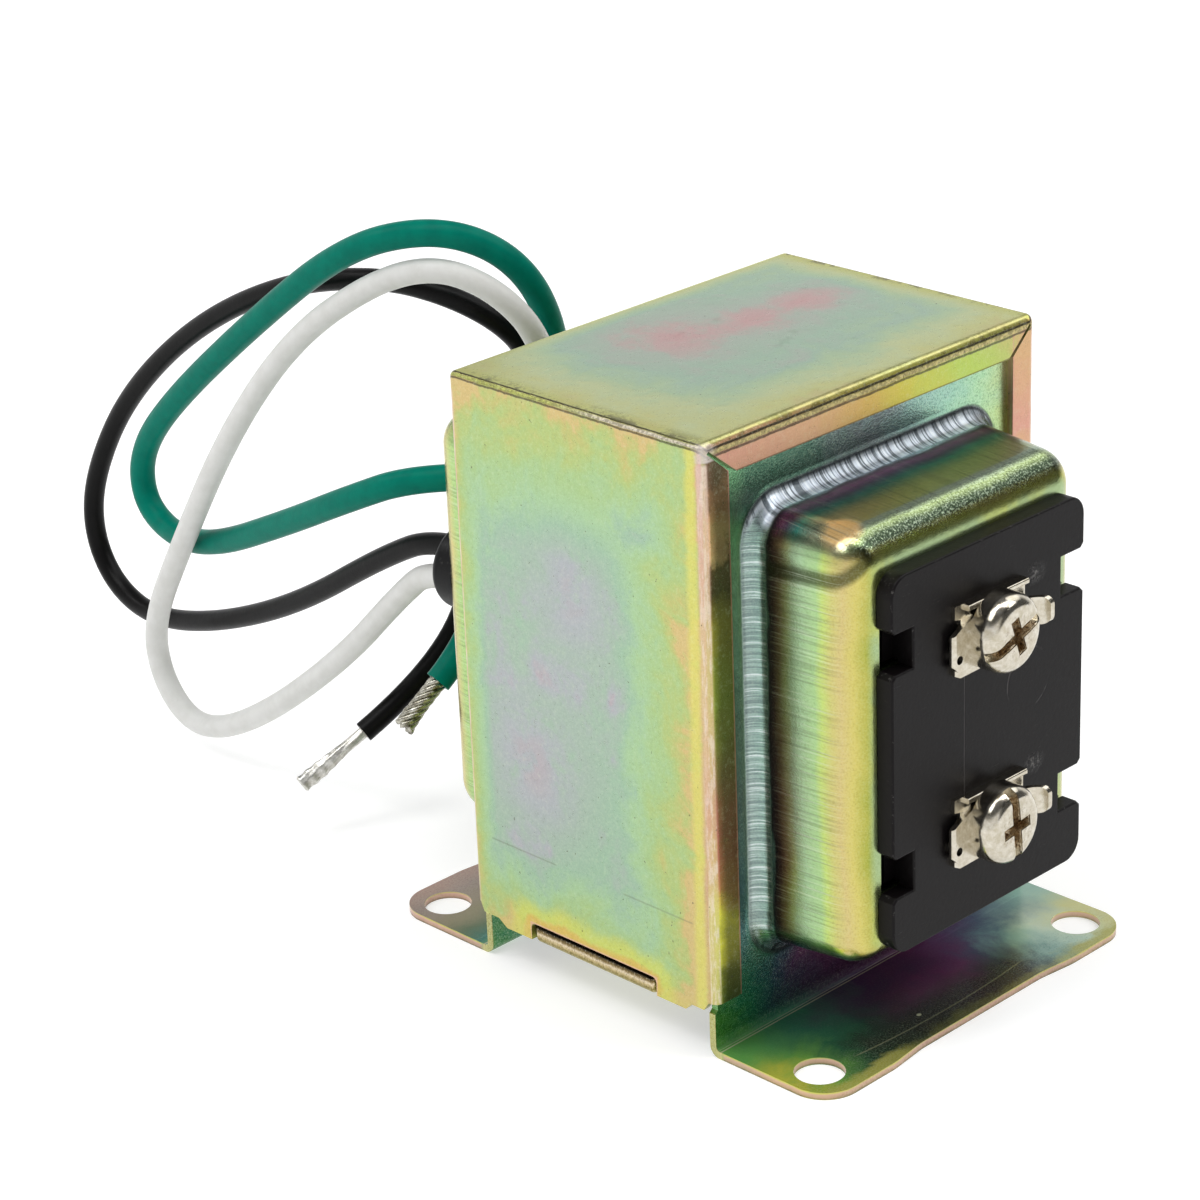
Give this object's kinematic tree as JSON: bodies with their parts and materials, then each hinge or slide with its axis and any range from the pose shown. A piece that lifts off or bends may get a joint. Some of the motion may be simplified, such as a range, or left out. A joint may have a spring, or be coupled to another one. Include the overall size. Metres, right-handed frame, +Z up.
{
  "type": "doorbell transformer",
  "caption": "Foot-mounted laminated bell transformer in a folded steel shell with drawn end bells, a black screw-terminal board and stranded supply leads.",
  "frame": {"origin": "centre of the four foot holes, on the plane the feet rest on", "axes": "+X along the width of the laminations, to the right of someone facing the terminal board; +Y from the terminal board towards the supply leads, through the stack; +Z up, away from the feet"},
  "size_m": [0.0496, 0.1432, 0.0722],
  "materials": {
    "shell_plating": "zinc plate with an iridescent yellow and green passivation",
    "strap_plating": "the same plating, duller",
    "front_bell_plating": "zinc plate, iridescent green, blue and purple",
    "rear_bell_plating": "zinc plate, iridescent grey and pink",
    "board_plastic": "satin moulded thermoset",
    "terminal_nickel": "bright nickel plate",
    "screw_nickel": "bright nickel plate",
    "core_steel": "silicon steel sheet with a blue-grey oxide",
    "bobbin_plastic": "natural nylon",
    "magnet_wire": "enamelled copper wire",
    "coil_tape": "polyester tape",
    "liner_paper": "pressboard",
    "cutoff_can": "plain drawn can",
    "bushing_plastic": "satin moulded nylon",
    "lead_white_pvc": "glossy wire insulation",
    "lead_green_pvc": "glossy wire insulation",
    "lead_black_pvc": "glossy wire insulation",
    "tinned_copper": "tinned copper",
    "leadout_sleeve": "sleeved magnet wire",
    "ground_screw_green": "green dyed zinc plate",
    "washer_steel": "zinc-plated spring steel"
  },
  "bodies": {
    "root": {"outer_shell": "shell_plating", "bottom_strap": "strap_plating", "front_end_bell": "front_bell_plating", "rear_end_bell": "rear_bell_plating", "terminal_board": "board_plastic", "terminal_plate_upper": "terminal_nickel", "terminal_plate_lower": "terminal_nickel", "terminal_clamp_upper": "terminal_nickel", "terminal_clamp_lower": "terminal_nickel", "terminal_screw_upper": "screw_nickel", "terminal_screw_lower": "screw_nickel", "e_laminations": "core_steel", "i_laminations": "core_steel", "bobbin": "bobbin_plastic", "primary_winding": "magnet_wire", "secondary_winding": "magnet_wire", "primary_tape": "coil_tape", "secondary_tape": "coil_tape", "insulation_liner_front": "liner_paper", "insulation_liner_rear": "liner_paper", "thermal_cutoff": "cutoff_can", "lead_bushing": "bushing_plastic", "lead_white": "lead_white_pvc", "lead_green": "lead_green_pvc", "lead_black": "lead_black_pvc", "lead_white_bare_end": "tinned_copper", "lead_green_bare_end": "tinned_copper", "lead_black_bare_end": "tinned_copper", "primary_splice_black": "tinned_copper", "primary_splice_white": "tinned_copper", "ground_ring_terminal": "tinned_copper", "secondary_leadout_upper": "leadout_sleeve", "secondary_leadout_lower": "leadout_sleeve", "ground_screw": "ground_screw_green", "ground_lock_washer": "washer_steel"}
  },
  "joints": []
}
